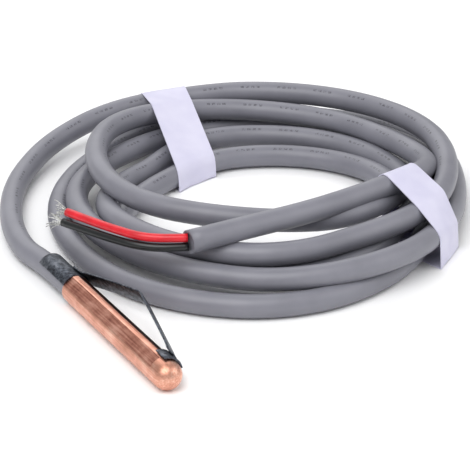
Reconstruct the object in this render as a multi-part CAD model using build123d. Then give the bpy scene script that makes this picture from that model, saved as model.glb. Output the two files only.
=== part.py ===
"""Clip-in cable temperature probe: copper sheath, spring clip, coiled two-core cable.

Millimetres. The probe lies along Y with its domed tip towards -Y, +Z is up and the sheath
rests on Z = 0. The work frame has X = 0 on the probe's axis and Y = 0 on the sheath's open
rim; at the end all the pieces are moved together, so that the origin is the bottom centre of
the probe and its clip.
"""
import os
from math import asin, atan2, cos, degrees, hypot, pi, radians, sin, tan

from build123d import *

# ---------------------------------------------------------------- driving dimensions
SHEATH_RADIUS = 3.0
SHEATH_LENGTH = 45.0
MOUTH_DEPTH = 8.0
MOUTH_CLEARANCE = 0.05
TIP_BORE_RADIUS = 2.35
TIP_WALL = 1.2
FLAT_DEPTH = 0.35
FLAT_TURN = 125.0
FLAT_END_GAP = 5.0

CABLE_RADIUS = 2.5
WIRE_RADIUS = 0.9
WIRE_TO_WIRE_GAP = 0.44
INNER_WIRE_LENGTH = 10.0
SOLDER_RADIUS = 0.65
SOLDER_LENGTH = 3.0
SLEEVE_BORE_GAP = 0.05
SLEEVE_WALL = 0.13
SLEEVE_OVERLAP = 3.0
LEAD_RADIUS = 0.15
LEAD_HALF_PITCH = 0.6
BEAD_RADIUS = 1.3
BEAD_LENGTH = 3.4
BEAD_TIP_GAP = 0.6

CLIP_TURN = 29.0
STRIP_THICKNESS = 0.35
STRIP_WIDTH = 4.0
COLLAR_LENGTH = 12.0
COLLAR_GAP = 0.25
COLLAR_WRAP_LOW = -35.0
COLLAR_WRAP_HIGH = 150.0
ROOT_RISE = 0.6
ROOT_STEP = 0.6
PEAK_RISE = 5.2
PEAK_STEP = 17.3
SHOE_CENTRE_STEP = 39.8
SHOE_LENGTH = 4.0
SHOE_GAP = 0.25
SHOE_WRAP_LOW = 8.0
SHOE_WRAP_HIGH = 95.0
HINGE_GAP = 0.05
PRESS_ANGLE = 7.0

COIL_CENTRE = (56.0, 20.0)
COIL_HEIGHT = 10.5
COIL_EDGE = 3.5
COIL_OUTER = ((-170, 50.0), (-135, 53.0), (-105, 50.5), (-75, 45.0), (-50, 43.0), (-25, 45.5),
              (0, 50.5), (30, 50.0), (60, 50.5), (90, 52.0), (120, 48.5), (150, 47.0))
COIL_INNER = ((-150, 27.0), (-90, 24.5), (-50, 27.5), (0, 27.0), (50, 24.0), (100, 24.0),
              (155, 26.0))

TIE_THICKNESS = 0.4
TIE_WIDTH = 10.0
TIE_GAP = 0.1
TIE_BACK_CENTRE = (53.0, 55.5)
TIE_BACK_TURN = 78.0
TIE_BACK_HALF_SPAN = 18.0
TIE_FRONT_TURN = -52.0
TIE_FRONT_RADIUS = 35.5
TIE_FRONT_HALF_SPAN = 10.0
TIE_CORNER = 4.0

# Routes of the free cable: corner points (x, y, z) of straight runs, each corner rounded.
LEAD_ROUTE = ((0.0, -MOUTH_DEPTH, SHEATH_RADIUS), (0.0, 13.0, SHEATH_RADIUS), (-1.6, 23.5, 2.6),
              (2.4, 40.0, 2.6), (12.0, 58.0, 2.6), (27.5, 71.5, 4.5), (45.5, 73.5, 8.5),
              (62.0, 68.0, 7.5))
TAIL_ROUTE = ((94.6, 27.0, 7.8), (94.4, 13.5, 8.8), (88.4, 2.6, 11.4), (77.0, -4.0, 13.4),
              (62.5, -7.8, 13.5), (48.5, -9.9, 13.5), (35.0, -9.9, 13.4), (21.0, -10.6, 13.4))
RED_WIRE_ROUTE = ((20.9, -10.5, 14.35), (16.6, -8.6, 14.35), (12.4, -5.4, 14.4),
                  (9.2, 0.8, 14.4), (6.6, 7.0, 14.4), (4.4, 12.6, 14.4))
BLACK_WIRE_ROUTE = ((20.9, -10.8, 12.45), (16.4, -9.2, 12.45), (12.0, -5.8, 12.5),
                    (8.6, 0.2, 12.5), (5.8, 6.4, 12.5), (3.2, 12.2, 12.5))
STRAND_RADIUS = 0.13
STRAND_LENGTH = 5.0
RED_STRAND_FAN = ((-24, 10), (-12, 22), (0, 4), (10, 14), (18, -6), (6, 30), (-4, -12))
BLACK_STRAND_FAN = ((-10, -8), (4, 10), (20, 0), (34, 8), (48, -10), (14, -20), (28, -24))

# ---------------------------------------------------------------- derived values
AXIS_HEIGHT = SHEATH_RADIUS
COIL_BASE = TIE_THICKNESS + TIE_GAP
ROOT_RADIUS = SHEATH_RADIUS + ROOT_RISE
PEAK_RADIUS = SHEATH_RADIUS + PEAK_RISE
SHOE_BORE = SHEATH_RADIUS + SHOE_GAP
SHOE_RADIUS = SHOE_BORE + STRIP_THICKNESS / 2
MOUTH_BORE_RADIUS = CABLE_RADIUS + MOUTH_CLEARANCE
WIRE_HALF_PITCH = WIRE_RADIUS + WIRE_TO_WIRE_GAP / 2
SLEEVE_BORE = WIRE_RADIUS + SLEEVE_BORE_GAP
SLEEVE_RADIUS = SLEEVE_BORE + SLEEVE_WALL
BEAD_TIP_EDGE = BEAD_RADIUS * 0.8
BEAD_BACK_EDGE = BEAD_RADIUS - LEAD_HALF_PITCH - 2 * LEAD_RADIUS
BORE_END = SHEATH_LENGTH - TIP_WALL - TIP_BORE_RADIUS


# ---------------------------------------------------------------- helpers
def along_probe(radius, length, step, side=0.0):
    """Round bar along the probe, from `step` past the rim towards the tip."""
    bar = Cylinder(radius, length, align=(Align.CENTER, Align.CENTER, Align.MIN))
    return Pos(side, -step, AXIS_HEIGHT) * Rot(90, 0, 0) * bar


def corner_radii(points):
    """Largest smooth radius at each corner: 0.45 of the shorter run over tan(half turn)."""
    corners = [Vector(*point) for point in points]
    radii = []
    for before, here, after in zip(corners, corners[1:], corners[2:]):
        turn = radians((here - before).get_angle(after - here))
        shorter = min((here - before).length, (after - here).length)
        radii.append(0.45 * shorter / tan(turn / 2))
    return radii


def routed_tube(name, points, radius):
    """Tube along straight runs joined by tangent arcs; prints its bends and its volume."""
    radii = corner_radii(points)
    path = FilletPolyline(*points, radius=radii)
    section = Plane(origin=path @ 0, z_dir=path % 0) * Circle(radius)
    tube = sweep(section, path=path)
    exact = pi * radius ** 2 * path.length
    print(name, "length", round(path.length, 1), "bend radii", [round(r, 1) for r in radii],
          "volume over section times length", round(tube.volume / exact, 4))
    return tube


def clip_point(step, radius, side=0.0):
    """Point in the clip's plane: `step` from the rim, `radius` from the probe's axis."""
    turn = radians(CLIP_TURN)
    return Vector(radius * cos(turn) - side * sin(turn), -step,
                  AXIS_HEIGHT + radius * sin(turn) + side * cos(turn))


def clip_plane():
    """Plane of the clip's profile: local x runs to the tip, local y away from the axis."""
    origin = clip_point(0, 0)
    x_dir = clip_point(1, 0) - origin
    z_dir = x_dir.cross(clip_point(0, 1) - origin)
    return Plane(origin=origin, x_dir=x_dir, z_dir=z_dir)


def strip(start, end, start_gap, end_gap):
    """Flat spring leaf between two points (step, radius), its ends held off by gaps."""
    run = hypot(end[0] - start[0], end[1] - start[1])
    turn = degrees(atan2(end[1] - start[1], end[0] - start[0]))
    length = run - start_gap - end_gap
    middle = Pos((start_gap + run - end_gap) / 2, 0)
    outline = Pos(*start) * Rot(0, 0, turn) * middle * Rectangle(length, STRIP_THICKNESS)
    return extrude(clip_plane() * outline, amount=STRIP_WIDTH / 2, both=True)


def round_end(point):
    """Rolled end of a leaf, a round bar across the strip at a hinge line."""
    return extrude(clip_plane() * Pos(*point) * Circle(STRIP_THICKNESS / 2),
                   amount=STRIP_WIDTH / 2, both=True)


def wrap(bore, low, high, step, length):
    """Curved strip around the probe's axis between two angles, from `step` past the rim."""
    turn = high - low
    ring = Pos(bore + STRIP_THICKNESS / 2, 0) * Rectangle(STRIP_THICKNESS, length)
    shell = revolve(Plane.XZ * ring, axis=Axis.Z, revolution_arc=turn)
    lengthwise = Rot(90, 0, 0) * Rot(0, 0, low) * shell
    return Pos(0, -(step + length / 2), AXIS_HEIGHT) * lengthwise


def polar(angle, radius):
    """Point of the coil's plan at an angle and a radius from its centre."""
    return (COIL_CENTRE[0] + radius * cos(radians(angle)),
            COIL_CENTRE[1] + radius * sin(radians(angle)))


def plan_face(outline):
    """Plan area inside a closed smooth curve through points given by angle and radius."""
    points = [polar(angle, radius) for angle, radius in outline]
    return make_face(Spline(*points, periodic=True))


# ---------------------------------------------------------------- probe
def copper_sheath():
    """Deep-drawn tube with a hemispherical tip, a stepped bore and one lengthwise flat."""
    straight = SHEATH_LENGTH - SHEATH_RADIUS
    body = along_probe(SHEATH_RADIUS, straight, 0)
    body += Pos(0, -straight, AXIS_HEIGHT) * Sphere(SHEATH_RADIUS)
    body -= along_probe(MOUTH_BORE_RADIUS, MOUTH_DEPTH, 0)
    body -= along_probe(TIP_BORE_RADIUS, BORE_END, 0)
    body -= Pos(0, -BORE_END, AXIS_HEIGHT) * Sphere(TIP_BORE_RADIUS)
    flat_length = SHEATH_LENGTH - FLAT_END_GAP
    cutter = Box(FLAT_DEPTH, flat_length, 2 * SHEATH_RADIUS, align=(Align.MIN, Align.MAX, Align.CENTER))
    cutter = Pos(SHEATH_RADIUS - FLAT_DEPTH, 0, 0) * cutter
    return body - Pos(0, 0, AXIS_HEIGHT) * Rot(0, -FLAT_TURN, 0) * cutter


def inside_pieces():
    """Wire ends, solder joints, sleeves, thermistor leads and bead, in that order."""
    pieces = {}
    wire_end = MOUTH_DEPTH + INNER_WIRE_LENGTH
    solder_end = wire_end + SOLDER_LENGTH
    bead_end = BORE_END + TIP_BORE_RADIUS - BEAD_TIP_GAP
    bead_start = bead_end - BEAD_LENGTH
    bead_core = along_probe(BEAD_RADIUS, BEAD_LENGTH, bead_start)
    rims = bead_core.edges().filter_by(GeomType.CIRCLE).sort_by(Axis.Y)
    bead = fillet(rims[0], BEAD_TIP_EDGE)
    back_rim = bead.edges().filter_by(GeomType.CIRCLE).sort_by(Axis.Y)[-1]
    bead = fillet(back_rim, BEAD_BACK_EDGE)
    for colour, side in (("red", 1), ("black", -1)):
        wire = along_probe(WIRE_RADIUS, INNER_WIRE_LENGTH, MOUTH_DEPTH, side * WIRE_HALF_PITCH)
        solder = along_probe(SOLDER_RADIUS, SOLDER_LENGTH, wire_end, side * WIRE_HALF_PITCH)
        sleeve_start = wire_end - SLEEVE_OVERLAP
        sleeve_length = SOLDER_LENGTH + 2 * SLEEVE_OVERLAP
        sleeve = along_probe(SLEEVE_RADIUS, sleeve_length, sleeve_start, side * WIRE_HALF_PITCH)
        sleeve -= along_probe(SLEEVE_BORE, sleeve_length, sleeve_start, side * WIRE_HALF_PITCH)
        lead = along_probe(LEAD_RADIUS, bead_start - solder_end, solder_end, side * LEAD_HALF_PITCH)
        pieces["inner_wire_" + colour] = wire
        pieces["solder_joint_" + colour] = solder
        pieces["shrink_sleeve_" + colour] = sleeve
        pieces["thermistor_lead_" + colour] = lead
    pieces["thermistor_bead"] = bead
    return pieces


def potting_compound(inside):
    """Resin that fills the bore around the bead, the joints and the wires."""
    fill = along_probe(TIP_BORE_RADIUS, BORE_END - MOUTH_DEPTH, MOUTH_DEPTH)
    fill += Pos(0, -BORE_END, AXIS_HEIGHT) * Sphere(TIP_BORE_RADIUS)
    fill -= along_probe(TIP_BORE_RADIUS, MOUTH_DEPTH, 0)
    for name, piece in inside.items():
        if name.startswith("shrink_sleeve"):
            side = WIRE_HALF_PITCH if name.endswith("red") else -WIRE_HALF_PITCH
            start = MOUTH_DEPTH + INNER_WIRE_LENGTH - SLEEVE_OVERLAP
            fill -= along_probe(SLEEVE_RADIUS, SOLDER_LENGTH + 2 * SLEEVE_OVERLAP, start, side)
        else:
            fill -= piece
    return fill


# ---------------------------------------------------------------- spring clip
def spring_clip():
    """Collar on the cable behind the rim, rear leaf up to the peak, front leaf with a shoe."""
    root = (ROOT_STEP, ROOT_RADIUS)
    peak = (PEAK_STEP, PEAK_RADIUS)
    shoe = (SHOE_CENTRE_STEP, SHOE_RADIUS)
    half = STRIP_THICKNESS / 2
    collar = wrap(CABLE_RADIUS + COLLAR_GAP, COLLAR_WRAP_LOW, COLLAR_WRAP_HIGH,
                  -COLLAR_LENGTH, COLLAR_LENGTH)
    rear = strip(root, peak, 0, 0) + round_end(root) + round_end(peak)
    front = strip(peak, shoe, half + HINGE_GAP, 0)
    tread = wrap(SHOE_BORE, SHOE_WRAP_LOW, SHOE_WRAP_HIGH,
                 SHOE_CENTRE_STEP - SHOE_LENGTH / 2, SHOE_LENGTH)
    clear_bore = along_probe(SHOE_BORE, SHEATH_LENGTH, 0)
    front = (front - clear_bore) + tread
    return {"clip_collar": collar, "clip_rear_leaf": rear, "clip_front_leaf": front}


def clip_motion():
    """Hinge places and the ratio that keeps the shoe at one height while the clip is pressed."""
    rear_run = hypot(PEAK_STEP - ROOT_STEP, PEAK_RADIUS - ROOT_RADIUS)
    rear_slope = asin((PEAK_RADIUS - ROOT_RADIUS) / rear_run)
    front_run = hypot(SHOE_CENTRE_STEP - PEAK_STEP, PEAK_RADIUS - SHOE_RADIUS)
    front_slope = asin((PEAK_RADIUS - SHOE_RADIUS) / front_run)
    pressed_peak = ROOT_RADIUS + rear_run * sin(rear_slope - radians(PRESS_ANGLE))
    pressed_slope = asin((pressed_peak - SHOE_RADIUS) / front_run)
    ratio = -(PRESS_ANGLE + degrees(front_slope - pressed_slope)) / PRESS_ANGLE
    return ratio, pressed_peak


# ---------------------------------------------------------------- cable
def cable_coil():
    """Outer shape of the loose coil: a rounded ring, pulled in where the front tie holds it."""
    ring = extrude(plan_face(COIL_OUTER) - plan_face(COIL_INNER), amount=COIL_HEIGHT)
    flat_faces = ring.faces().sort_by(Axis.Z)
    ring = fillet(flat_faces[0].edges() + flat_faces[-1].edges(), COIL_EDGE)
    return Pos(0, 0, COIL_BASE) * ring


def tie_band(centre, turn, half_span, top):
    """Flat strip tied round the coil: a closed band across it, `top` high inside."""
    inner_width = 2 * half_span
    inner_height = top + TIE_GAP
    outer = RectangleRounded(inner_width + 2 * TIE_THICKNESS, inner_height + 2 * TIE_THICKNESS,
                             TIE_CORNER + TIE_THICKNESS)
    inner = RectangleRounded(inner_width, inner_height, TIE_CORNER)
    loop = Pos(0, inner_height / 2 + TIE_THICKNESS) * (outer - inner)
    upright = extrude(Plane.XZ * loop, amount=TIE_WIDTH / 2, both=True)
    return Pos(*centre, 0) * Rot(0, 0, turn) * upright


def strands(route, fan):
    """Frayed tinned strands that spread from the bare end of a wire."""
    last = Vector(*route[-1])
    ahead = (last - Vector(*route[-2])).normalized()
    heading = degrees(atan2(ahead.Y, ahead.X))
    pieces = []
    for swing, lift in fan:
        straight = Cylinder(STRAND_RADIUS, STRAND_LENGTH, align=(Align.CENTER, Align.CENTER, Align.MIN))
        pieces.append(Pos(*last) * Rot(0, 0, heading + swing) * Rot(0, 90 - lift, 0) * straight)
    bundle = pieces[0]
    for piece in pieces[1:]:
        bundle += piece
    return bundle


# ---------------------------------------------------------------- assembly
def build():
    """Every piece by its node name, in the work frame."""
    inside = inside_pieces()
    coil = cable_coil()
    tail_top = max(point[2] for point in TAIL_ROUTE) + CABLE_RADIUS
    front_centre = polar(TIE_FRONT_TURN, TIE_FRONT_RADIUS)
    nodes = {"copper_sheath": copper_sheath(), "potting_compound": potting_compound(inside)}
    nodes.update(inside)
    nodes.update(spring_clip())
    nodes["cable_lead"] = routed_tube("cable_lead", LEAD_ROUTE, CABLE_RADIUS)
    nodes["cable_coil"] = coil
    nodes["cable_tail"] = routed_tube("cable_tail", TAIL_ROUTE, CABLE_RADIUS)
    nodes["tail_wire_red"] = routed_tube("tail_wire_red", RED_WIRE_ROUTE, WIRE_RADIUS)
    nodes["tail_wire_black"] = routed_tube("tail_wire_black", BLACK_WIRE_ROUTE, WIRE_RADIUS)
    nodes["strands_red"] = strands(RED_WIRE_ROUTE, RED_STRAND_FAN)
    nodes["strands_black"] = strands(BLACK_WIRE_ROUTE, BLACK_STRAND_FAN)
    nodes["tie_back"] = tie_band(TIE_BACK_CENTRE, TIE_BACK_TURN, TIE_BACK_HALF_SPAN,
                                 COIL_BASE + COIL_HEIGHT - TIE_THICKNESS)
    nodes["tie_front"] = tie_band(front_centre, TIE_FRONT_TURN, TIE_FRONT_HALF_SPAN,
                                  tail_top - TIE_THICKNESS)
    return nodes


def row_shift(nodes):
    """Move that puts the bottom centre of the probe and its clip at the origin."""
    own = [nodes[name].bounding_box() for name in
           ("copper_sheath", "clip_collar", "clip_rear_leaf", "clip_front_leaf")]
    low_x = min(box.min.X for box in own)
    high_x = max(box.max.X for box in own)
    low_y = min(box.min.Y for box in own)
    high_y = max(box.max.Y for box in own)
    low_z = min(box.min.Z for box in own)
    return Vector(-(low_x + high_x) / 2, -(low_y + high_y) / 2, -low_z)


os.makedirs("parts", exist_ok=True)
pieces = build()
shift = row_shift(pieces)
for node, shape in pieces.items():
    export_step(Pos(*shift) * shape, "parts/" + node + ".step")

coupling, low_peak = clip_motion()
print("shift", [round(value, 4) for value in shift])
print("root hinge", [round(v, 5) for v in clip_point(ROOT_STEP, ROOT_RADIUS) + shift])
print("peak hinge", [round(v, 5) for v in clip_point(PEAK_STEP, PEAK_RADIUS) + shift])
print("hinge axis", [round(v, 6) for v in clip_point(0, 0, 1) - clip_point(0, 0)])
print("coupling", round(coupling, 4), "pressed peak radius", round(low_peak, 2))
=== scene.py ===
"""Looks of a cable temperature probe with a spring clip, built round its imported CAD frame.

Metres throughout. The probe lies along Y with its domed tip towards -Y, and the clip, the coil
and the stripped cable end are placed from the frame's own boxes.
"""

from math import acos, atan2, cos, hypot, pi, radians, sin
from random import Random

import bmesh
import bpy
import numpy as np
from mathutils import Matrix, Vector


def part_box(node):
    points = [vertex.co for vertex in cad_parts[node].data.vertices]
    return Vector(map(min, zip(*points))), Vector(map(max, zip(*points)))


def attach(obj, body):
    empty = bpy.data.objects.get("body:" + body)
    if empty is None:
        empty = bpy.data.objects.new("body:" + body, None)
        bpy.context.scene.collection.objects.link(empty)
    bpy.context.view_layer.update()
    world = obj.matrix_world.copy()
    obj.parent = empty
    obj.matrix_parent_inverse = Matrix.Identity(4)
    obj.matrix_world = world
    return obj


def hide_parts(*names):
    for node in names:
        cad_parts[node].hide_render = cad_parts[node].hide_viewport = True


bl_info = {
    "name": "Cable Temperature Probe",
    "version": (1, 0, 0),
    "blender": (4, 5, 0),
    "location": "3D View > Sidebar > Probe",
    "description": "Builds a clip-in cable temperature probe with its coiled lead",
    "category": "Add Mesh",
}

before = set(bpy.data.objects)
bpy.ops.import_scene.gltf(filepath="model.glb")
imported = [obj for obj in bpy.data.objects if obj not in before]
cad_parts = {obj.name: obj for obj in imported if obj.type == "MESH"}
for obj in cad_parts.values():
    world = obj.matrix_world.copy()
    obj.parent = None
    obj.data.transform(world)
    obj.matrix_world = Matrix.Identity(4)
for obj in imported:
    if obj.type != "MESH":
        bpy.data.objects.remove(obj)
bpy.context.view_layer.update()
MM = 0.001

# ---------------------------------------------------------------- places from the frame
SHEATH_LOW, SHEATH_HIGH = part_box("copper_sheath")
AXIS_X = (SHEATH_LOW.x + SHEATH_HIGH.x) / 2
RIM_Y = SHEATH_HIGH.y
SHEATH_RADIUS = (SHEATH_HIGH.x - SHEATH_LOW.x) / 2
SHEATH_LENGTH = SHEATH_HIGH.y - SHEATH_LOW.y
AXIS_Z = SHEATH_RADIUS

# Routes of the free cable, from the sheath's axis and rim: control points of a smooth line.
LEAD_ROUTE = ((0.0, -0.008, 0.003), (0.0, 0.013, 0.003), (-0.0016, 0.0235, 0.0026),
              (0.0024, 0.040, 0.0026), (0.012, 0.058, 0.0026), (0.0275, 0.0715, 0.0045),
              (0.0455, 0.0735, 0.0085))
TAIL_ROUTE = ((0.0933, 0.0265, 0.0077), (0.0932, 0.0135, 0.0086), (0.0878, 0.0022, 0.0112),
              (0.0775, -0.0045, 0.0134), (0.0625, -0.0080, 0.0135), (0.0485, -0.0099, 0.0135),
              (0.035, -0.0099, 0.0134), (0.021, -0.0106, 0.0134))
RED_WIRE_ROUTE = ((0.0209, -0.0105, 0.01435), (0.0166, -0.0086, 0.01435),
                  (0.0124, -0.0054, 0.0144), (0.0092, 0.0008, 0.0144), (0.0066, 0.007, 0.0144),
                  (0.0044, 0.0126, 0.0144))
BLACK_WIRE_ROUTE = ((0.0209, -0.0108, 0.01245), (0.0164, -0.0092, 0.01245),
                    (0.012, -0.0058, 0.0125), (0.0086, 0.0002, 0.0125), (0.0058, 0.0064, 0.0125),
                    (0.0032, 0.0122, 0.0125))

# The coil, wound clockwise: each turn's radius and height at eleven angles round its centre.
COIL_CENTRE = (0.056, 0.020)
COIL_ANGLES = (92, 62, 8, -24, -52, -88, -114, -140, -180, -212, -246)
COIL_TURNS = (
    ((0.0490, 0.0104), (0.0473, 0.0104), (0.0446, 0.0102), (0.0407, 0.0100), (0.0395, 0.0092),
     (0.0378, 0.0090), (0.0410, 0.0089), (0.0404, 0.0088), (0.0386, 0.0084), (0.0338, 0.0056),
     (0.0320, 0.0034)),
    ((0.0350, 0.0046), (0.0346, 0.0048), (0.0345, 0.0044), (0.0350, 0.0032), (0.0372, 0.0028),
     (0.0450, 0.0025), (0.0506, 0.0025), (0.0512, 0.0025), (0.0472, 0.0025), (0.0460, 0.0025),
     (0.0465, 0.0026)),
    ((0.0485, 0.0029), (0.0500, 0.0030), (0.0500, 0.0028), (0.0428, 0.0030), (0.0425, 0.0048),
     (0.0470, 0.0064), (0.0462, 0.0050), (0.0440, 0.0052), (0.0425, 0.0062), (0.0415, 0.0056),
     (0.0385, 0.0050)),
    ((0.0425, 0.0028), (0.0450, 0.0026), (0.0435, 0.0028), (0.0388, 0.0035), (0.0335, 0.0030),
     (0.0385, 0.0032), (0.0410, 0.0030), (0.0400, 0.0030), (0.0365, 0.0030), (0.0290, 0.0025),
     (0.0252, 0.0025)),
    ((0.0262, 0.0026), (0.0267, 0.0025), (0.0302, 0.0025), (0.0308, 0.0040), (0.0316, 0.0086),
     (0.0300, 0.0094), (0.0268, 0.0094), (0.0270, 0.0096), (0.0336, 0.0100), (0.0380, 0.0102),
     (0.0435, 0.0102)),
    ((0.0448, 0.0084), (0.0412, 0.0078), (0.0376, 0.0077)),
)
COIL_STEP = 15
COIL_START = 75
COIL_END = 5 * 360 - 30
PUSH_ROUNDS = 160
TURN_GAP = 1.01

# The strips: centre from the axis and rim, turn in degrees, half span, and the side that
# reaches the floor (-1 towards the coil's centre, 1 away from it).
TIE_PLACES = (
    ("white_tie_back", "tie_back", (0.053, 0.0555, 0), 78, 0.021, -1),
    ("white_tie_front", "tie_front", (0.0770, -0.0085, 0), -78, 0.017, 1),
)
TIE_SLACK = 0.15 * MM
TIE_FLOOR_GAP = 0.1 * MM

# The sheath.
MOUTH_BORE = 2.58 * MM
MOUTH_DEPTH = 8.0 * MM
RIM_ROUND = 0.14 * MM
FLAT_DEPTH = 0.35 * MM
FLAT_TURN = radians(125)
FLAT_END_GAP = 5.0 * MM
# Turn and half width of the side by the leaf that gets a near-black copy of the copper: a painted
# dark reflection of the leaf.
REFLECTION_BAND_TURN = radians(50)
REFLECTION_BAND_HALF_WIDTH = radians(26)

# The clip: plates bent round the probe, in degrees, and the side views of its flat runs as
# (step past the rim, distance from the axis) in millimetres.
COLLAR_BORE = 2.75 * MM
COLLAR_LENGTH = 12 * MM
COLLAR_WRAP = (-35, 150)
SHOE_BORE = 3.25 * MM
SHOE_START = 37.8 * MM
SHOE_LENGTH = 4 * MM
SHOE_WRAP = (8, 95)
TONGUE_SIDE = ((-4, 2.93), (-1.2, 2.93), (0.2, 3.3), (0.6, 3.6))
REAR_LEAF_SIDE = ((0.4, 3.5), (5, 4.95), (11, 6.6), (17.3, 8.2))
FRONT_LEAF_SIDE = ((17.2, 8.2), (17.9, 8.3), (18.8, 8.0), (28, 6.0), (36.6, 4.1), (38.2, 3.45),
                   (40.5, 3.45))
EDGE_ROUND = 0.08 * MM


def place(x, y, z):
    """Row-frame point from a point counted from the sheath's axis, its rim and the floor."""
    return Vector((AXIS_X + x, RIM_Y + y, z))


# ---------------------------------------------------------------- settings
class CableSettings(bpy.types.PropertyGroup):
    """Sizes of the round cable and its two cores."""
    radius: bpy.props.FloatProperty(
        name="Cable radius", description="Outside radius of the grey jacket",
        default=0.0025, unit="LENGTH")
    core_radius: bpy.props.FloatProperty(
        name="Core radius", description="Outside radius of one insulated core",
        default=0.0009, unit="LENGTH")
    strand_radius: bpy.props.FloatProperty(
        name="Strand radius", description="Radius of one bare strand",
        default=0.00009, unit="LENGTH")
    strand_count: bpy.props.IntProperty(
        name="Strands", description="Bare strands in each core", default=15, min=3)


class TieSettings(bpy.types.PropertyGroup):
    """Sizes of the two strips that hold the coil."""
    width: bpy.props.FloatProperty(
        name="Tie width", description="Width of the strip", default=0.0104, unit="LENGTH")
    thickness: bpy.props.FloatProperty(
        name="Tie thickness", description="Thickness of the strip", default=0.0002, unit="LENGTH")


class ClipSettings(bpy.types.PropertyGroup):
    """Sizes of the spring clip's strip."""
    width: bpy.props.FloatProperty(
        name="Strip width", description="Width of the spring strip", default=0.004, unit="LENGTH")
    thickness: bpy.props.FloatProperty(
        name="Strip thickness", description="Thickness of the spring strip",
        default=0.00035, unit="LENGTH")
    turn: bpy.props.FloatProperty(
        name="Clip turn", description="How far the clip stands up from level, round the sheath",
        default=radians(29), subtype="ANGLE")


class FinishSettings(bpy.types.PropertyGroup):
    """Main colours."""
    jacket: bpy.props.StringProperty(
        name="Jacket", description="Colour of the cable's jacket", default="#7e7e87")
    tie: bpy.props.StringProperty(
        name="Tie", description="Colour of the strips", default="#d3d1e4")
    copper: bpy.props.StringProperty(
        name="Copper", description="Colour of the sheath", default="#dca08a")
    steel: bpy.props.StringProperty(
        name="Steel", description="Colour of the spring clip", default="#5a5f68")


class ProbeSettings(bpy.types.PropertyGroup):
    """All the settings of the probe."""
    cable: bpy.props.PointerProperty(type=CableSettings)
    tie: bpy.props.PointerProperty(type=TieSettings)
    clip: bpy.props.PointerProperty(type=ClipSettings)
    finish: bpy.props.PointerProperty(type=FinishSettings)


# ---------------------------------------------------------------- materials
def linear(code):
    """Linear RGBA of an sRGB hex colour."""
    shades = [int(code[i:i + 2], 16) / 255 for i in (1, 3, 5)]
    return [c / 12.92 if c <= 0.04045 else ((c + 0.055) / 1.055) ** 2.4 for c in shades] + [1.0]


def node(tree, kind, settings, inputs):
    """Adds a node; an input is a value, or a (node, output) pair to link from."""
    new = tree.nodes.new(kind)
    for key, value in settings.items():
        setattr(new, key, value)
    for key, value in inputs.items():
        if isinstance(value, tuple) and isinstance(value[0], bpy.types.Node):
            tree.links.new(value[0].outputs[value[1]], new.inputs[key])
        else:
            new.inputs[key].default_value = value
    return new


def new_material(name, shader_inputs):
    """Material with one Principled shader, returned with its tree and shader."""
    made = bpy.data.materials.new(name)
    made.use_nodes = True
    tree = made.node_tree
    tree.nodes.clear()
    shader = node(tree, "ShaderNodeBsdfPrincipled", {}, shader_inputs)
    node(tree, "ShaderNodeOutputMaterial", {}, {"Surface": (shader, "BSDF")})
    return made, tree, shader


def ramp(tree, source, stops):
    """Colour ramp over a (node, output) pair; stops are (position, colour)."""
    new = node(tree, "ShaderNodeValToRGB", {}, {"Fac": source})
    elements = new.color_ramp.elements
    while len(elements) < len(stops):
        elements.new(0.5)
    for element, (position, colour) in zip(elements, stops):
        element.position = position
        element.color = colour
    return new


def grey(value):
    """Opaque grey for a ramp that carries a number."""
    return [value, value, value, 1.0]


def jacket_pvc(colour):
    """Extruded PVC jacket: satin, faintly mottled, with groups of small worn ink dashes."""
    # The grain is drawn at 0.5 mm, coarser than the real one, so that it shows.
    dash_pitch, group_pitch = 1.3 * MM, 9.1 * MM
    made, tree, shader = new_material("extruded_pvc_jacket", {"Roughness": 0.42, "IOR": 1.53})
    where = node(tree, "ShaderNodeTexCoord", {}, {})
    cloud = node(tree, "ShaderNodeTexNoise", {}, {
        "Vector": (where, "Object"), "Scale": 1 / (9 * MM), "Detail": 3.0})
    tone = ramp(tree, (cloud, "Fac"), [(0.3, linear("#74747d")), (0.7, linear(colour))])
    along = node(tree, "ShaderNodeSeparateXYZ", {}, {"Vector": (where, "UV")})
    line = node(tree, "ShaderNodeMath", {"operation": "COMPARE"}, {
        0: (along, "Y"), 1: 0.08, 2: 0.018})
    ink = line
    for pitch, share in ((dash_pitch, 0.62), (group_pitch, 0.55)):
        count = node(tree, "ShaderNodeMath", {"operation": "DIVIDE"}, {0: (along, "X"), 1: pitch})
        spot = node(tree, "ShaderNodeMath", {"operation": "FRACT"}, {0: (count, "Value")})
        mark = node(tree, "ShaderNodeMath", {"operation": "LESS_THAN"}, {
            0: (spot, "Value"), 1: share})
        ink = node(tree, "ShaderNodeMath", {"operation": "MULTIPLY"}, {
            0: (ink, "Value"), 1: (mark, "Value")})
    wear = node(tree, "ShaderNodeTexNoise", {}, {
        "Vector": (where, "Object"), "Scale": 1 / (0.35 * MM), "Detail": 2.0})
    faint = ramp(tree, (wear, "Fac"), [(0.38, grey(0.0)), (0.62, grey(0.75))])
    strength = node(tree, "ShaderNodeMath", {"operation": "MULTIPLY"}, {
        0: (ink, "Value"), 1: (faint, "Color")})
    mix = node(tree, "ShaderNodeMix", {"data_type": "RGBA"}, {
        "Factor": (strength, "Value"), "A": (tone, "Color"), "B": linear("#2c2c34")})
    tree.links.new(mix.outputs["Result"], shader.inputs["Base Color"])
    grain = node(tree, "ShaderNodeTexNoise", {}, {
        "Vector": (where, "Object"), "Scale": 1 / (0.5 * MM), "Detail": 4.0})
    bump = node(tree, "ShaderNodeBump", {}, {
        "Strength": 0.08, "Distance": 0.05 * MM, "Height": (grain, "Fac")})
    tree.links.new(bump.outputs["Normal"], shader.inputs["Normal"])
    return made


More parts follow.
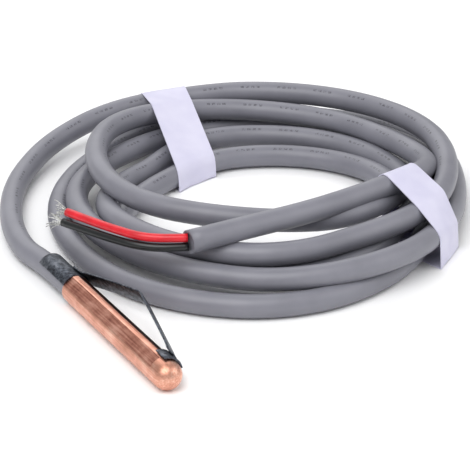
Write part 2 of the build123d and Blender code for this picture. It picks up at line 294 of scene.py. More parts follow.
def core_pvc(name, dark, light):
    """Glossy PVC core insulation, a little lighter where it is thin over the strands."""
    made, tree, shader = new_material(name, {"Roughness": 0.32, "IOR": 1.53})
    where = node(tree, "ShaderNodeTexCoord", {}, {})
    cloud = node(tree, "ShaderNodeTexNoise", {}, {
        "Vector": (where, "Object"), "Scale": 1 / (2.5 * MM), "Detail": 2.0})
    tone = ramp(tree, (cloud, "Fac"), [(0.3, linear(dark)), (0.7, linear(light))])
    tree.links.new(tone.outputs["Color"], shader.inputs["Base Color"])
    bump = node(tree, "ShaderNodeBump", {}, {
        "Strength": 0.15, "Distance": 0.04 * MM, "Height": (cloud, "Fac")})
    tree.links.new(bump.outputs["Normal"], shader.inputs["Normal"])
    return made


def tinned_copper():
    """Drawn tinned copper wire: bright silver with dull spots where the tin is thin."""
    made, tree, shader = new_material("drawn_tinned_copper", {"Metallic": 1.0, "Roughness": 0.3})
    where = node(tree, "ShaderNodeTexCoord", {}, {})
    spots = node(tree, "ShaderNodeTexNoise", {}, {
        "Vector": (where, "Object"), "Scale": 1 / (0.4 * MM), "Detail": 2.0})
    tone = ramp(tree, (spots, "Fac"), [(0.35, linear("#8f8f8c")), (0.65, linear("#e6e6e2"))])
    tree.links.new(tone.outputs["Color"], shader.inputs["Base Color"])
    return made


def tie_film(colour):
    """Rolled polyethylene film strip: matt white with a lilac cast and faint lengthwise lines."""
    made, tree, shader = new_material("rolled_polyethylene_film", {
        "Roughness": 0.55, "IOR": 1.51, "Subsurface Weight": 0.15, "Subsurface Radius": [MM] * 3,
        "Subsurface Scale": 0.4})
    where = node(tree, "ShaderNodeTexCoord", {}, {})
    cloud = node(tree, "ShaderNodeTexNoise", {}, {
        "Vector": (where, "Object"), "Scale": 1 / (6 * MM), "Detail": 2.0})
    tone = ramp(tree, (cloud, "Fac"), [(0.3, linear("#c9c7dd")), (0.7, linear(colour))])
    tree.links.new(tone.outputs["Color"], shader.inputs["Base Color"])
    lines = node(tree, "ShaderNodeTexWave", {"bands_direction": "Y"}, {
        "Vector": (where, "UV"), "Scale": 14.0, "Distortion": 1.5, "Detail": 2.0})
    bump = node(tree, "ShaderNodeBump", {}, {
        "Strength": 0.12, "Distance": 0.08 * MM, "Height": (lines, "Fac")})
    tree.links.new(bump.outputs["Normal"], shader.inputs["Normal"])
    return made


def drawn_copper(name, dark, colour, light, polish):
    """Deep-drawn copper: fine lengthwise draw lines and soft darker tarnish."""
    # The draw lines are 0.35 mm apart, coarser than real ones, so that they show.
    made, tree, shader = new_material(name, {"Metallic": 1.0})
    where = node(tree, "ShaderNodeTexCoord", {}, {})
    stretch = node(tree, "ShaderNodeMapping", {}, {
        "Vector": (where, "Object"), "Scale": (1 / (0.35 * MM), 1 / (9 * MM), 1 / (0.35 * MM))})
    draw = node(tree, "ShaderNodeTexNoise", {}, {
        "Vector": (stretch, "Vector"), "Scale": 1.0, "Detail": 4.0})
    cloud = node(tree, "ShaderNodeTexNoise", {}, {
        "Vector": (where, "Object"), "Scale": 1 / (4 * MM), "Detail": 4.0, "Roughness": 0.6})
    blend = node(tree, "ShaderNodeMix", {"data_type": "FLOAT"}, {
        "Factor": 0.5, "A": (draw, "Fac"), "B": (cloud, "Fac")})
    tone = ramp(tree, (blend, "Result"), [
        (0.36, linear(dark)), (0.5, linear(colour)), (0.64, linear(light))])
    tree.links.new(tone.outputs["Color"], shader.inputs["Base Color"])
    dull = ramp(tree, (blend, "Result"), [(0.35, grey(polish + 0.1)), (0.65, grey(polish))])
    tree.links.new(dull.outputs["Color"], shader.inputs["Roughness"])
    bump = node(tree, "ShaderNodeBump", {}, {
        "Strength": 0.25, "Distance": 0.03 * MM, "Height": (blend, "Result")})
    tree.links.new(bump.outputs["Normal"], shader.inputs["Normal"])
    return made


def spring_steel(colour):
    """Hardened and blackened spring steel strip: mottled grey oxide over a dull metal."""
    made, tree, shader = new_material("blackened_spring_steel", {"Metallic": 1.0})
    where = node(tree, "ShaderNodeTexCoord", {}, {})
    mottle = node(tree, "ShaderNodeTexNoise", {}, {
        "Vector": (where, "Object"), "Scale": 1 / (0.9 * MM), "Detail": 5.0, "Roughness": 0.65})
    tone = ramp(tree, (mottle, "Fac"), [
        (0.35, linear("#2e2f36")), (0.55, linear(colour)), (0.75, linear("#83858d"))])
    tree.links.new(tone.outputs["Color"], shader.inputs["Base Color"])
    dull = ramp(tree, (mottle, "Fac"), [(0.3, grey(0.5)), (0.7, grey(0.34))])
    tree.links.new(dull.outputs["Color"], shader.inputs["Roughness"])
    bump = node(tree, "ShaderNodeBump", {}, {
        "Strength": 0.2, "Distance": 0.03 * MM, "Height": (mottle, "Fac")})
    tree.links.new(bump.outputs["Normal"], shader.inputs["Normal"])
    return made


def speckled(name, dark, light, size, shader_inputs):
    """Plain finish of a hidden piece: two near tones in a cloud of the given size."""
    made, tree, shader = new_material(name, shader_inputs)
    where = node(tree, "ShaderNodeTexCoord", {}, {})
    cloud = node(tree, "ShaderNodeTexNoise", {}, {
        "Vector": (where, "Object"), "Scale": 1 / size, "Detail": 3.0})
    tone = ramp(tree, (cloud, "Fac"), [(0.35, linear(dark)), (0.65, linear(light))])
    tree.links.new(tone.outputs["Color"], shader.inputs["Base Color"])
    bump = node(tree, "ShaderNodeBump", {}, {
        "Strength": 0.1, "Distance": 0.02 * MM, "Height": (cloud, "Fac")})
    tree.links.new(bump.outputs["Normal"], shader.inputs["Normal"])
    return made


# ---------------------------------------------------------------- modelling helpers
def fresh_start():
    """Object mode with nothing selected."""
    if bpy.context.mode != "OBJECT":
        bpy.ops.object.mode_set(mode="OBJECT")
    bpy.ops.object.select_all(action="DESELECT")


def finish_piece(piece, name, finish, body, replaced):
    """Names a finished mesh, applies its place, and ties it to its body and CAD nodes."""
    fresh_start()
    piece.name = name
    piece.data.name = name
    piece.select_set(True)
    bpy.context.view_layer.objects.active = piece
    bpy.ops.object.transform_apply(location=True, rotation=True, scale=True)
    piece.data.materials.clear()
    piece.data.materials.append(finish)
    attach(piece, body)
    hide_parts(*replaced)


def apply_modifier(piece, kind, **settings):
    """Adds a modifier with its settings and applies it."""
    fresh_start()
    piece.select_set(True)
    bpy.context.view_layer.objects.active = piece
    made = piece.modifiers.new(kind.title(), kind)
    for key, value in settings.items():
        setattr(made, key, value)
    bpy.ops.object.modifier_apply(modifier=made.name)


def join(first, *others):
    """Joins the other pieces into the first."""
    fresh_start()
    for piece in (first, *others):
        piece.select_set(True)
    bpy.context.view_layer.objects.active = first
    bpy.ops.object.join()


def smooth(piece, angle):
    """Smooth shading, with edges sharper than the angle kept."""
    fresh_start()
    piece.select_set(True)
    bpy.context.view_layer.objects.active = piece
    bpy.ops.object.shade_smooth_by_angle(angle=radians(angle))


def cord_line(points):
    """Points along one smooth NURBS line with the given control points."""
    curve = bpy.data.curves.new("route", "CURVE")
    curve.dimensions = "3D"
    curve.resolution_u = 9
    spline = curve.splines.new("NURBS")
    spline.points.add(len(points) - 1)
    for slot, point in zip(spline.points, points):
        slot.co = (*point, 1.0)
    spline.order_u = 3
    spline.use_endpoint_u = True
    holder = bpy.data.objects.new("route", curve)
    mesh = bpy.data.meshes.new_from_object(holder)
    line = [vertex.co.copy() for vertex in mesh.vertices]
    bpy.data.meshes.remove(mesh)
    bpy.data.objects.remove(holder)
    bpy.data.curves.remove(curve)
    return line


def side_frames(line):
    """For each point of a line, two directions across it that turn as little as possible."""
    ahead = [(b - a).normalized() for a, b in zip(line, line[1:])]
    ahead.append(ahead[-1])
    up = Vector((0, 0, 1))
    across = (up - up.dot(ahead[0]) * ahead[0]).normalized()
    frames = []
    for direction in ahead:
        across = (across - across.dot(direction) * direction).normalized()
        frames.append((across, direction.cross(across)))
    return frames


def tube_mesh(name, line, radius, sides, end_rings):
    """Tube along a line with closed ends; end_rings are (share of radius, set back) at its end."""
    frames = side_frames(line)
    rings = []
    reach = 0.0
    for i, (centre, (across, beside)) in enumerate(zip(line, frames)):
        if i:
            reach += (centre - line[i - 1]).length
        rings.append((centre, across, beside, radius, reach))
    last = (line[-1] - line[-2]).normalized()
    for share, back in end_rings:
        rings.append((line[-1] - last * back, *frames[-1], radius * share, reach))
    made = bmesh.new()
    loops = []
    for centre, across, beside, size, _ in rings:
        turn = [2 * pi * k / sides for k in range(sides)]
        loops.append([made.verts.new(centre + size * (cos(t) * across + sin(t) * beside))
                      for t in turn])
    uv = made.loops.layers.uv.new("along")
    for (near, far), (a, b) in zip(zip(loops, loops[1:]), zip(rings, rings[1:])):
        for k in range(sides):
            face = made.faces.new((near[k], near[(k + 1) % sides], far[(k + 1) % sides], far[k]))
            face.smooth = True
            corners = ((a[4], k), (a[4], k + 1), (b[4], k + 1), (b[4], k))
            for loop, (u, v) in zip(face.loops, corners):
                loop[uv].uv = (u, v / sides)
    made.faces.new(list(reversed(loops[0])))
    made.faces.new(loops[-1])
    mesh = bpy.data.meshes.new(name)
    made.to_mesh(mesh)
    made.free()
    piece = bpy.data.objects.new(name, mesh)
    bpy.context.scene.collection.objects.link(piece)
    return piece


def carry_on(matrix):
    """Edit mode: extrudes what is selected and moves the new part by a matrix."""
    bpy.ops.mesh.extrude_region_move(TRANSFORM_OT_translate={"value": (0, 0, 0)})
    data = bmesh.from_edit_mesh(bpy.context.edit_object.data)
    chosen = [vertex for vertex in data.verts if vertex.select]
    bmesh.ops.transform(data, matrix=matrix, verts=chosen)
    bmesh.update_edit_mesh(bpy.context.edit_object.data)


def swept_strip(matrices, width, depth):
    """Strip swept from a flat rectangle through a list of placing matrices."""
    fresh_start()
    bpy.ops.mesh.primitive_plane_add(size=1.0)
    piece = bpy.context.object
    piece.data.transform(matrices[0] @ Matrix.Diagonal((depth, width, 1, 1)))
    bpy.ops.object.mode_set(mode="EDIT")
    bpy.ops.mesh.select_all(action="SELECT")
    for before, after in zip(matrices, matrices[1:]):
        carry_on(after @ before.inverted())
    bpy.ops.mesh.select_all(action="SELECT")
    bpy.ops.mesh.normals_make_consistent(inside=False)
    bpy.ops.object.mode_set(mode="OBJECT")
    return piece


# ---------------------------------------------------------------- cable
def eased(xs, ys, at):
    """Values of a smooth curve through the given places."""
    slopes = np.gradient(ys, xs)
    slot = np.clip(np.searchsorted(xs, at, side="right") - 1, 0, len(xs) - 2)
    run = xs[slot + 1] - xs[slot]
    t = (at - xs[slot]) / run
    start = (1 + 2 * t) * (1 - t) ** 2 * ys[slot] + t * (1 - t) ** 2 * run * slopes[slot]
    return start + t ** 2 * (3 - 2 * t) * ys[slot + 1] + t ** 2 * (t - 1) * run * slopes[slot + 1]


def coil_points(radius):
    """Control points of the coil's turns, pushed apart wherever two turns would touch."""
    wound = [(turn * 360 - angle, *size) for turn, sizes in enumerate(COIL_TURNS)
             for angle, size in zip(COIL_ANGLES, sizes)]
    places, radii, heights = (np.array(column, float) for column in zip(*wound))
    at = np.arange(-COIL_START, COIL_END + 1, COIL_STEP)
    size = np.stack([eased(places, radii, at), eased(places, heights, at)], axis=1)
    turn = 360 // COIL_STEP
    shift = np.zeros_like(size)
    for _ in range(PUSH_ROUNDS):
        now = size + shift
        push = np.zeros_like(size)
        for apart in range(turn, len(at), turn):
            gap = now[apart:] - now[:-apart]
            far = np.maximum(np.linalg.norm(gap, axis=1), 1e-6)[:, None]
            move = gap / far * np.maximum(2 * TURN_GAP * radius - far, 0) / 2
            push[apart:] += move
            push[:-apart] -= move
        shift += 0.5 * push
        shift[1:-1] += 0.12 * (shift[2:] + shift[:-2] - 2 * shift[1:-1])
        shift[:, 1] = np.maximum(shift[:, 1], radius - size[:, 1])
    size = size + shift
    turns = np.radians(-at)
    return [place(COIL_CENTRE[0] + r * cos(a), COIL_CENTRE[1] + r * sin(a), z)
            for (r, z), a in zip(size, turns)]


def cable_line(radius):
    """The whole cable's centreline, from inside the sheath to the stripped end."""
    lead = [place(*point) for point in LEAD_ROUTE]
    tail = [place(*point) for point in TAIL_ROUTE]
    return cord_line(lead + coil_points(radius) + tail)


class PROBE_OT_cable(bpy.types.Operator):
    """Builds the grey cable, its two stripped cores and their bare strands"""
    bl_idname = "probe.cable"
    bl_label = "Cable"

    def execute(self, context):
        settings = context.scene.probe
        sizes = settings.cable
        line = cable_line(sizes.radius)
        cable = tube_mesh("grey_cable", line, sizes.radius, 24,
                          ((0.95, 0.0), (0.75, 0.0), (0.7, 0.0003)))
        finish_piece(cable, "grey_cable", jacket_pvc(settings.finish.jacket),
                     "probe", ("cable_lead", "cable_coil", "cable_tail"))
        tinned = tinned_copper()
        cores = []
        for colour, route, dark, light in (("red", RED_WIRE_ROUTE, "#c40d1e", "#de1c2c"),
                                           ("black", BLACK_WIRE_ROUTE, "#07090a", "#111517")):
            core_line = cord_line([place(*point) for point in route])
            core = tube_mesh("core_" + colour, core_line, sizes.core_radius, 20,
                             ((0.93, 0.0), (0.6, 0.0001)))
            finish = core_pvc("extruded_pvc_core_" + colour, dark, light)
            finish_piece(core, "core_" + colour, finish, "probe",
                         ("tail_wire_" + colour,))
            bare = strand_bunch(core_line, sizes, Random(colour))
            finish_piece(bare, "bare_strands_" + colour, tinned, "probe",
                         ("strands_" + colour,))
            cores += [core, bare]
        return {"FINISHED"}


def strand_bunch(core_line, sizes, chance):
    """Bare strands that leave a core's end in a twist and then fray."""
    end = core_line[-1]
    ahead = (core_line[-1] - core_line[-4]).normalized()
    across, beside = side_frames(core_line)[-1]
    lines = []
    for k in range(sizes.strand_count):
        turn = 2 * pi * k / sizes.strand_count
        out = (cos(turn) * across + sin(turn) * beside)
        spread = chance.uniform(0.1, 0.55)
        long = chance.uniform(2.2, 5.2) * MM
        lean = chance.uniform(-0.5, 0.9)
        swing = (ahead + spread * out + 0.35 * lean * beside).normalized()
        droop = Vector((0, 0, -chance.uniform(0.0, 0.25)))
        start = end - ahead * 0.4 * MM + out * sizes.core_radius * chance.uniform(0.1, 0.5)
        middle = start + ahead * 0.3 * long + out * 0.1 * long
        lines.append(cord_line([start, middle, middle + swing * 0.4 * long,
                                middle + (swing + droop) * 0.75 * long]))
    tubes = [tube_mesh("strand", line, sizes.strand_radius, 6, ()) for line in lines]
    join(*tubes)
    return tubes[0]


# ---------------------------------------------------------------- ties
def hull(points):
    """Corners of the convex hull of flat points, in order."""
    points = sorted(set(points))
    halves = []
    for run in (points, points[::-1]):
        chain = []
        for p in run:
            while len(chain) > 1 and (
                    (chain[-1][0] - chain[-2][0]) * (p[1] - chain[-2][1])
                    <= (chain[-1][1] - chain[-2][1]) * (p[0] - chain[-2][0])):
                chain.pop()
            chain.append(p)
        halves.append(chain[:-1])
    return halves[0] + halves[1]


def even_loop(corners, count):
    """Points evenly spaced round a closed outline, from the middle of its foot."""
    closed = np.array(corners + corners[:1])
    reach = np.concatenate([[0], np.cumsum(np.linalg.norm(np.diff(closed, axis=0), axis=1))])
    middle = (closed[:, 0].min() + closed[:, 0].max()) / 2
    fine = np.linspace(0, reach[-1], 2000, endpoint=False)
    xs = np.interp(fine, reach, closed[:, 0])
    ys = np.interp(fine, reach, closed[:, 1])
    low = np.argmin(np.abs(xs - middle) + 3 * (ys - ys.min()))
    at = (fine[low] + np.linspace(0, reach[-1], count, endpoint=False)) % reach[-1]
    return np.stack([np.interp(at, reach, closed[:, side]) for side in (0, 1)], axis=1)


def tie_strip(name, line, centre, turn, half_span, foot_side, sizes, cable_radius):
    """Flat strip pulled tight round every strand of the cable that passes its plane."""
    outward = Vector((cos(radians(turn)), sin(radians(turn)), 0))
    sideways = Vector((-outward.y, outward.x, 0))
    stations = np.linspace(-0.5, 0.5, 9) * sizes.width
    size = cable_radius + TIE_SLACK
    loops = []
    for station in stations:
        found = []
        for a, b in zip(line, line[1:]):
            near, far = ((p - centre).dot(sideways) - station for p in (a, b))
            if near * far <= 0 and near != far:
                spot = a.lerp(b, near / (near - far)) - centre
                if abs(spot.dot(outward)) < half_span:
                    wide = size / max(abs((b - a).normalized().dot(sideways)), 0.5)
                    found.append((spot.dot(outward), spot.z, wide))
        ring = [(x + wide * cos(t), z + size * sin(t)) for x, z, wide in found
                for t in np.linspace(0, 2 * pi, 32, endpoint=False)]
        edge = max(foot_side * x + wide for x, z, wide in found)
        ring += [(foot_side * (edge + 0.5 * MM), 0.2 * MM), (foot_side * edge, cable_radius)]
        loops.append(even_loop(hull(ring), 96))
    loops = np.array(loops)
    loops[:, :, 1] = np.maximum(loops[:, :, 1], TIE_FLOOR_GAP)
    for _ in range(2):
        loops[1:-1] = (loops[:-2] + 2 * loops[1:-1] + loops[2:]) / 4
    made = bmesh.new()
    uv = made.loops.layers.uv.new("along")
    rows = [[made.verts.new(centre + outward * x + sideways * station + Vector((0, 0, z)))
             for x, z in loop] for station, loop in zip(stations, loops)]
    count = len(rows[0])
    for j, (near, far) in enumerate(zip(rows, rows[1:])):
        for k in range(count):
            face = made.faces.new((near[k], near[(k + 1) % count], far[(k + 1) % count], far[k]))
            face.smooth = True
            corners = ((k, j), (k + 1, j), (k + 1, j + 1), (k, j + 1))
            for corner, (u, v) in zip(face.loops, corners):
                corner[uv].uv = (u / count, v / (len(stations) - 1))
    bmesh.ops.recalc_face_normals(made, faces=made.faces)
    mesh = bpy.data.meshes.new(name)
    made.to_mesh(mesh)
    made.free()
    piece = bpy.data.objects.new(name, mesh)
    bpy.context.scene.collection.objects.link(piece)
    apply_modifier(piece, "SOLIDIFY", thickness=sizes.thickness, offset=0.0)
    middle = loops[len(stations) // 2]
    around = np.linalg.norm(np.roll(middle, -1, axis=0) - middle, axis=1).sum()
    return piece, float(around)


class PROBE_OT_ties(bpy.types.Operator):
    """Builds the two white strips that hold the coil"""
    bl_idname = "probe.ties"
    bl_label = "Ties"

    def execute(self, context):
        settings = context.scene.probe
        line = cable_line(settings.cable.radius)
        film = tie_film(settings.finish.tie)
        for name, node_name, centre, turn, half_span, foot_side in TIE_PLACES:
            piece, around = tie_strip(name, line, place(*centre), turn, half_span, foot_side,
                                      settings.tie, settings.cable.radius)
            smooth(piece, 50)
            finish_piece(piece, name, film, "probe", (node_name,))
        return {"FINISHED"}


# ---------------------------------------------------------------- sheath
def ring_body(rings, sides, start):
    """Round body along the probe from (step past the rim, radius) rings, closed at both ends."""
    fresh_start()
    step, size = rings[0]
    bpy.ops.mesh.primitive_circle_add(vertices=sides, radius=size, fill_type="NOTHING")
    piece = bpy.context.object
    lay = Matrix.Translation(place(0, -step, AXIS_Z)) @ Matrix.Rotation(radians(90), 4, "X")
    piece.data.transform(lay @ Matrix.Rotation(start, 4, "Z"))
    bpy.ops.object.mode_set(mode="EDIT")
    bpy.ops.mesh.select_all(action="SELECT")
    for (step, size), (next_step, next_size) in zip(rings, rings[1:]):
        here = Matrix.Translation(place(0, -step, AXIS_Z))
        there = Matrix.Translation(place(0, -next_step, AXIS_Z))
        grow = next_size / size
        carry_on(there @ Matrix.Diagonal((grow, 1, grow, 1)) @ here.inverted())
    bpy.ops.mesh.merge(type="CENTER")
    bpy.ops.mesh.select_all(action="DESELECT")
    bpy.ops.mesh.select_non_manifold()
    bpy.ops.mesh.edge_face_add()
    bpy.ops.mesh.select_all(action="SELECT")
    bpy.ops.mesh.normals_make_consistent(inside=False)
    bpy.ops.object.mode_set(mode="OBJECT")
    return piece


def sheath_rings():
    """Rings of the sheath: bore, rounded rim, straight body, dome."""
    rings = [(MOUTH_DEPTH, MOUTH_BORE), (1.0 * MM, MOUTH_BORE)]
    middle = (MOUTH_BORE + SHEATH_RADIUS) / 2
    half = (SHEATH_RADIUS - MOUTH_BORE) / 2
    for k in range(7):
        turn = pi * k / 6
        rings.append((RIM_ROUND - RIM_ROUND * sin(turn), middle - half * cos(turn)))
    flat_end = SHEATH_LENGTH - FLAT_END_GAP
    straight = SHEATH_LENGTH - SHEATH_RADIUS
    for step in np.linspace(1.0 * MM, flat_end - 0.3 * MM, 20):
        rings.append((float(step), SHEATH_RADIUS))
    rings += [(flat_end, SHEATH_RADIUS), (flat_end + 0.12 * MM, SHEATH_RADIUS),
              (straight - 0.8 * MM, SHEATH_RADIUS)]
    for k in range(16):
        turn = pi / 2 * k / 16
        rings.append((straight + SHEATH_RADIUS * sin(turn), SHEATH_RADIUS * cos(turn)))
    rings.append((SHEATH_LENGTH, 0.02 * MM))
    return rings, flat_end


class PROBE_OT_sheath(bpy.types.Operator):
    """Builds the copper sheath with its rounded rim, lengthwise flat and dome"""
    bl_idname = "probe.sheath"
    bl_label = "Sheath"

    def execute(self, context):
        flat_distance = SHEATH_RADIUS - FLAT_DEPTH
        reach = acos(flat_distance / SHEATH_RADIUS)
        rings, flat_end = sheath_rings()
        piece = ring_body(rings, 90, radians(1))
        for vertex in piece.data.vertices:
            step = RIM_Y - vertex.co.y
            x, z = vertex.co.x - AXIS_X, vertex.co.z - AXIS_Z
            off = (atan2(z, x) - FLAT_TURN + pi) % (2 * pi) - pi
            along_flat = hypot(x, z) * cos(off)
            on_side = abs(off) < reach + 0.01 and step < flat_end + 0.01 * MM
            if on_side and along_flat > flat_distance:
                shrink = along_flat - flat_distance
                vertex.co.x -= shrink * cos(FLAT_TURN)
                vertex.co.z -= shrink * sin(FLAT_TURN)
        smooth(piece, 20)
        copper = drawn_copper("deep_drawn_copper", "#c08a74", context.scene.probe.finish.copper,
                              "#ecc0aa", 0.36)
        finish_piece(piece, "drawn_sheath", copper, "probe", ("copper_sheath",))
        # Painted shade dulls the flat to brown pink, and a painted dark reflection of the leaf
        # blackens the side by the leaf.
        # Painted shade: a darker brown-pink copy of the copper for the flat.
        flat = drawn_copper("painted_shade_copper_flat", "#7d4a3f", "#b07866", "#d3a08e", 0.36)
        # Painted dark reflection: a near-black copy of the copper for the side by the leaf.
        painted_reflection = drawn_copper("painted_reflection_copper", "#140a08", "#2b1612", "#5a3328", 0.42)
        piece.data.materials.append(flat)
        piece.data.materials.append(painted_reflection)
        outward = Vector((cos(FLAT_TURN), 0, sin(FLAT_TURN)))
        for face in piece.data.polygons:
            step = RIM_Y - face.center.y
            off = abs(atan2(face.normal.z, face.normal.x) - REFLECTION_BAND_TURN)
            straight = abs(face.normal.y) < 0.1 and 0.4 * MM < step < flat_end
            # Faces of the flat get the painted shade.
            if face.normal.dot(outward) > 0.999 and step < flat_end:
                face.material_index = 1
            # Faces turned towards the leaf get the painted dark reflection.
            elif off < REFLECTION_BAND_HALF_WIDTH and straight:
                face.material_index = 2
        return {"FINISHED"}


# ---------------------------------------------------------------- clip
def clip_frame(turn, step, radius, slope):
    """Turn and place in the clip's plane: thickness on X, width on Y, run on Z."""
    outward = Vector((cos(turn), 0, sin(turn)))
    ahead = Vector((0, -1, 0))
    run = (cos(slope) * ahead + sin(slope) * outward).normalized()
    thick = (cos(slope) * outward - sin(slope) * ahead).normalized()
    wide = run.cross(thick)
    spot = place(0, -step, AXIS_Z) + radius * outward
    return Matrix((thick, wide, run)).transposed().to_4x4(), spot


def soften(piece):
    """Rolled edges of a stamped strip: a small bevel and smooth shading."""
    apply_modifier(piece, "BEVEL", width=EDGE_ROUND, segments=2, limit_method="ANGLE",
                   angle_limit=radians(50))
    smooth(piece, 40)
    return piece


def leaf(points, sizes):
    """Spring strip along smooth (step, radius) points of the clip's plane."""
    matrices = []
    for i, (step, radius) in enumerate(points):
        before = points[max(i - 1, 0)]
        after = points[min(i + 1, len(points) - 1)]
        slope = atan2(after[1] - before[1], after[0] - before[0])
        turn_to, spot = clip_frame(sizes.turn, step, radius, slope)
        matrices.append(Matrix.Translation(spot) @ turn_to)
    piece = swept_strip(matrices, sizes.width, sizes.thickness)
    return soften(piece)


def curved_points(corners, count):
    """Evenly spaced points along the rounded corners of a strip's side view."""
    line = cord_line([Vector((step * MM, radius * MM, 0)) for step, radius in corners])
    reach = np.concatenate([[0], np.cumsum([(b - a).length for a, b in zip(line, line[1:])])])
    at = np.linspace(0, reach[-1], count)
    return [(float(np.interp(t, reach, [p.x for p in line])),
             float(np.interp(t, reach, [p.y for p in line]))) for t in at]


def wrap_strip(bore, low, high, step, length, sizes):
    """Plate bent round the probe's axis between two angles."""
    middle = bore + sizes.thickness / 2
    matrices = []
    for turn in np.linspace(radians(low), radians(high), 30):
        outward = Vector((cos(turn), 0, sin(turn)))
        along = Vector((0, -1, 0))
        onward = outward.cross(along)
        spot = place(0, -(step + length / 2), AXIS_Z) + middle * outward
        turn_to = Matrix((outward, along, onward)).transposed().to_4x4()
        matrices.append(Matrix.Translation(spot) @ turn_to)
    piece = swept_strip(matrices, length, sizes.thickness)
    return soften(piece)


class PROBE_OT_clip(bpy.types.Operator):
    """Builds the spring clip: collar, rising leaf, falling leaf and its shoe"""
    bl_idname = "probe.clip"
    bl_label = "Clip"

    def execute(self, context):
        settings = context.scene.probe
        sizes = settings.clip
        steel = spring_steel(settings.finish.steel)
        collar = wrap_strip(COLLAR_BORE, *COLLAR_WRAP, -COLLAR_LENGTH, COLLAR_LENGTH, sizes)
        tongue = leaf(curved_points(TONGUE_SIDE, 8), sizes)
        join(collar, tongue)
        finish_piece(collar, "spring_collar", steel, "probe", ("clip_collar",))
        rear = leaf(curved_points(REAR_LEAF_SIDE, 14), sizes)
        finish_piece(rear, "spring_rear_leaf", steel, "rear_leaf",
                     ("clip_rear_leaf",))
        front = leaf(curved_points(FRONT_LEAF_SIDE, 26), sizes)
        shoe = wrap_strip(SHOE_BORE, *SHOE_WRAP, SHOE_START, SHOE_LENGTH, sizes)
        join(front, shoe)
        finish_piece(front, "spring_front_leaf", steel, "front_leaf",
                     ("clip_front_leaf",))
        return {"FINISHED"}


# ---------------------------------------------------------------- hidden pieces
class PROBE_OT_inside(bpy.types.Operator):
    """Gives the pieces inside the sheath their finishes"""
    bl_idname = "probe.inside"
    bl_label = "Inside"

    def execute(self, context):
        resin = speckled("cast_epoxy_resin", "#151412", "#26231f", 1.5 * MM, {"Roughness": 0.35})
        bead = speckled("epoxy_dipped_thermistor", "#6b3f1d", "#9a6430", 0.8 * MM,
                        {"Roughness": 0.25})
        solder = speckled("flowed_tin_solder", "#9c9c9a", "#d8d8d4", 0.6 * MM,
                          {"Roughness": 0.3, "Metallic": 1.0})
        sleeve = speckled("shrunk_polyolefin_sleeve", "#141416", "#242428", 0.9 * MM,
                          {"Roughness": 0.5})
        tinned = tinned_copper()
        red = core_pvc("extruded_pvc_inner_red", "#d81f32", "#f03a48")
        black = core_pvc("extruded_pvc_inner_black", "#0b0f11", "#1c2426")
        finishes = {"potting_compound": resin, "thermistor_bead": bead,
                    "inner_wire_red": red, "inner_wire_black": black}
        for colour in ("red", "black"):
            finishes["solder_joint_" + colour] = solder
            finishes["shrink_sleeve_" + colour] = sleeve
            finishes["thermistor_lead_" + colour] = tinned
        for name, finish in finishes.items():
            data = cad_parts[name].data
            data.materials.clear()
            data.materials.append(finish)
        return {"FINISHED"}


# ---------------------------------------------------------------- stage
def soft_light(name, spot, aim, size, power):
    """Square area light that points at a place."""
    made = bpy.data.lights.new(name, "AREA")
    made.size = size
    made.energy = power
    holder = bpy.data.objects.new(name, made)
    holder.location = spot
    holder.rotation_euler = (Vector(aim) - Vector(spot)).to_track_quat("-Z", "Y").to_euler()
    bpy.context.scene.collection.objects.link(holder)


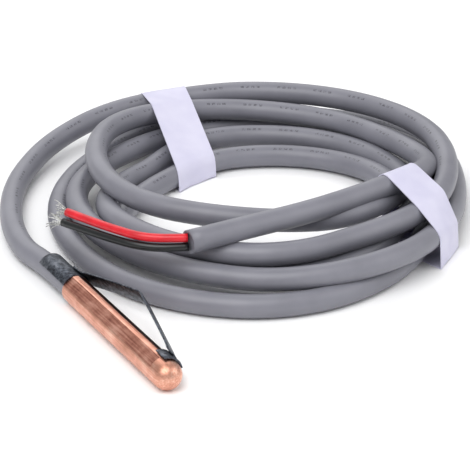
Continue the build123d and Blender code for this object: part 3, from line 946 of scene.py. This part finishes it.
class PROBE_OT_stage(bpy.types.Operator):
    """Sets the pale floor, the soft lights and the camera"""
    bl_idname = "probe.stage"
    bl_label = "Stage"

    def execute(self, context):
        scene = context.scene
        fresh_start()
        bpy.ops.mesh.primitive_plane_add(size=4.0, location=(0, 0, -0.00005))
        floor = context.object
        floor.name = "floor"
        paper = speckled("matt_white_paper", "#f6f6f7", "#ffffff", 0.2, {"Roughness": 0.9})
        floor.data.materials.append(paper)
        aim = place(0.04455, 0.01289, 0)
        soft_light("key", aim + Vector((-0.35, -0.25, 0.65)), aim, 0.6, 4.4)
        soft_light("fill", aim + Vector((0.5, -0.45, 0.45)), aim, 0.6, 1.6)
        soft_light("back", aim + Vector((0.1, 0.6, 0.5)), aim, 0.7, 2.0)
        world = bpy.data.worlds.new("studio")
        world.use_nodes = True
        world.node_tree.nodes["Background"].inputs["Color"].default_value = (1, 1, 1, 1)
        world.node_tree.nodes["Background"].inputs["Strength"].default_value = 0.5
        scene.world = world
        scene.view_settings.view_transform = "Standard"
        azimuth, elevation, distance = radians(-28.4), radians(25.2), 0.51
        away = Vector((sin(azimuth) * cos(elevation), -cos(azimuth) * cos(elevation),
                       sin(elevation)))
        lens = bpy.data.cameras.new("camera")
        lens.lens = 177.7
        lens.sensor_width = 36.0
        lens.clip_start = 0.01
        camera = bpy.data.objects.new("camera", lens)
        camera.location = aim + distance * away
        camera.rotation_euler = (-away).to_track_quat("-Z", "Y").to_euler()
        scene.collection.objects.link(camera)
        scene.camera = camera
        return {"FINISHED"}


class PROBE_PT_panel(bpy.types.Panel):
    """Sidebar panel with the probe's settings and pieces"""
    bl_label = "Cable Probe"
    bl_idname = "PROBE_PT_panel"
    bl_space_type = "VIEW_3D"
    bl_region_type = "UI"
    bl_category = "Probe"

    def draw(self, context):
        settings = context.scene.probe
        for group in (settings.cable, settings.tie, settings.clip, settings.finish):
            box = self.layout.box()
            for key in group.bl_rna.properties.keys():
                if key not in ("rna_type", "name"):
                    box.prop(group, key)
        for operator in OPERATORS:
            self.layout.operator(operator.bl_idname)


OPERATORS = (PROBE_OT_stage, PROBE_OT_cable, PROBE_OT_ties, PROBE_OT_sheath, PROBE_OT_clip,
             PROBE_OT_inside)
CLASSES = (CableSettings, TieSettings, ClipSettings, FinishSettings, ProbeSettings, *OPERATORS,
           PROBE_PT_panel)


def register():
    """Registers the classes and the scene's settings."""
    for each in CLASSES:
        bpy.utils.register_class(each)
    bpy.types.Scene.probe = bpy.props.PointerProperty(type=ProbeSettings)


def unregister():
    """Removes the settings and the classes."""
    del bpy.types.Scene.probe
    for each in reversed(CLASSES):
        bpy.utils.unregister_class(each)


def main():
    """Builds everything in order."""
    register()
    bpy.ops.probe.stage()
    bpy.ops.probe.cable()
    bpy.ops.probe.ties()
    bpy.ops.probe.sheath()
    bpy.ops.probe.clip()
    bpy.ops.probe.inside()


if __name__ == "__main__":
    main()
